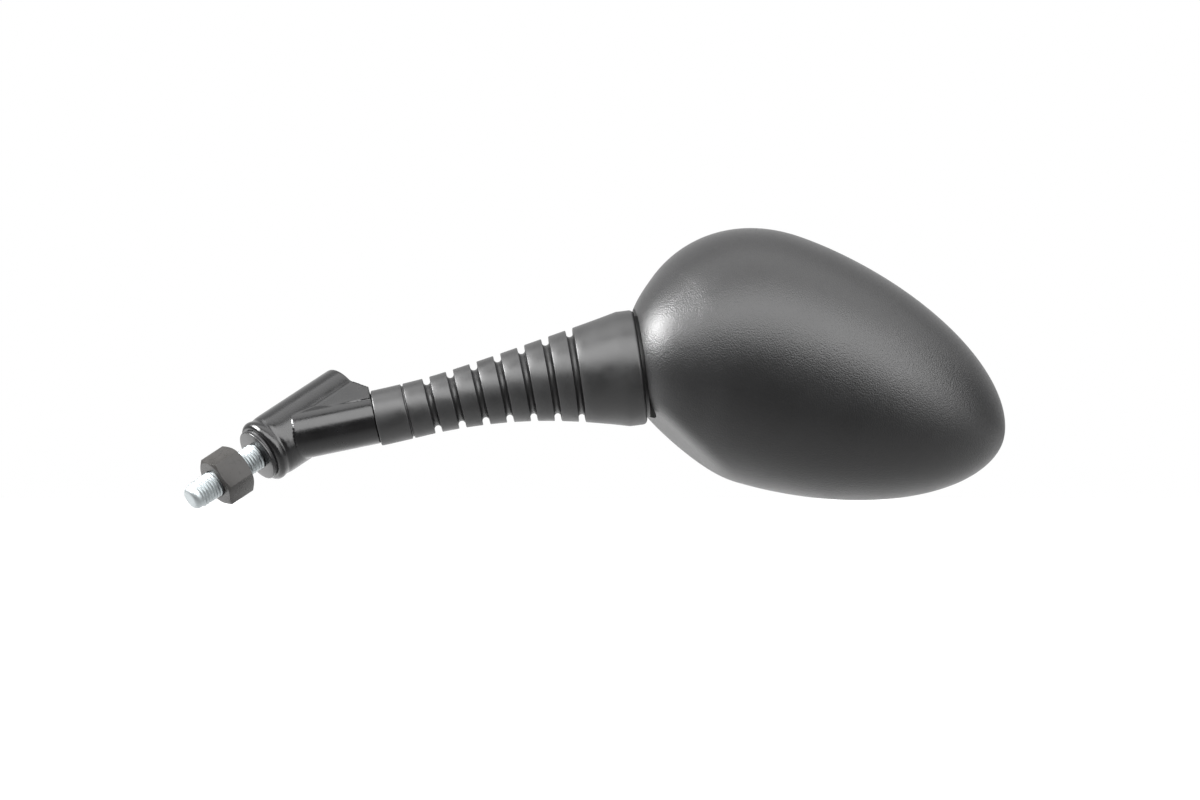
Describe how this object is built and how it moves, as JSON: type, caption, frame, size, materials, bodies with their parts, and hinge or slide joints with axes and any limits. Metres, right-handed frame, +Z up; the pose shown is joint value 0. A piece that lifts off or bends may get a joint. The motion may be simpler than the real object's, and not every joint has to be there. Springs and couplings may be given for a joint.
{
  "type": "motorcycle mirror",
  "caption": "Motorcycle mirror with an M10 stud, lock nut, angled arm casting, ribbed rubber boot and an egg-shaped grained black housing with convex glass.",
  "frame": {"origin": "on the stud's axis at the upper end of its free thread, just under the lock nut", "axes": "+X outboard along the arm, +Y the way the glass looks, +Z up with the mirror held as pictured"},
  "size_m": [0.3012, 0.0633, 0.1034],
  "materials": {
    "zinc_steel": "zinc plated",
    "black_steel": "black oxide",
    "spring_steel": "satin",
    "nylon": "satin",
    "gloss_paint": "gloss black",
    "boot_rubber": "matte",
    "seal_rubber": "matte",
    "grained_plastic": "fine grain",
    "mirror": "polished"
  },
  "bodies": {
    "mount": {"stud": "zinc_steel", "friction_washer": "nylon", "thrust_washer": "zinc_steel", "keeper_washer": "zinc_steel", "pivot_nut": "zinc_steel", "swivel_spring_1": "spring_steel", "swivel_spring_2": "spring_steel", "swivel_spring_3": "spring_steel", "swivel_spring_4": "spring_steel"},
    "nut": {"lock_nut": "black_steel"},
    "arm": {"arm_casting": "gloss_paint", "bore_plug": "nylon", "stem": "zinc_steel", "boot": "boot_rubber", "retainer": "nylon", "cup_spring_1": "spring_steel", "cup_spring_2": "spring_steel", "cup_spring_3": "spring_steel"},
    "seat": {"seat_cup": "nylon"},
    "liner": {"ball_liner": "nylon"},
    "head": {"ball_stud": "zinc_steel", "head_washer": "zinc_steel", "head_nut": "zinc_steel", "housing": "grained_plastic", "carrier": "grained_plastic", "foam_pad": "seal_rubber", "glass": "mirror", "glass_seal": "seal_rubber", "carrier_screw_1": "zinc_steel", "carrier_screw_2": "zinc_steel", "carrier_screw_3": "zinc_steel"}
  },
  "joints": [
    {"name": "nut_turn", "type": "hinge", "parent": "mount", "child": "nut", "pos_m": [0, 0, 0], "axis": [0.7255, 0.4695, 0.5033], "continuous": true},
    {"name": "arm_swivel", "type": "hinge", "parent": "mount", "child": "arm", "pos_m": [0, 0, 0], "axis": [0.7255, 0.4695, 0.5033], "continuous": true},
    {"name": "head_spin", "type": "hinge", "parent": "arm", "child": "seat", "pos_m": [0.13888, 0.01964, 0.04055], "axis": [0.9908, 0.0349, 0.1304], "continuous": true},
    {"name": "head_pan", "type": "hinge", "parent": "seat", "child": "liner", "pos_m": [0.13888, 0.01964, 0.04055], "axis": [-0.1305, 0, 0.9914], "range_deg": [-10, 10]},
    {"name": "head_tilt", "type": "hinge", "parent": "liner", "child": "head", "pos_m": [0.13888, 0.01964, 0.04055], "axis": [-0.0346, 0.9994, -0.0046], "range_deg": [-10, 10]}
  ]
}
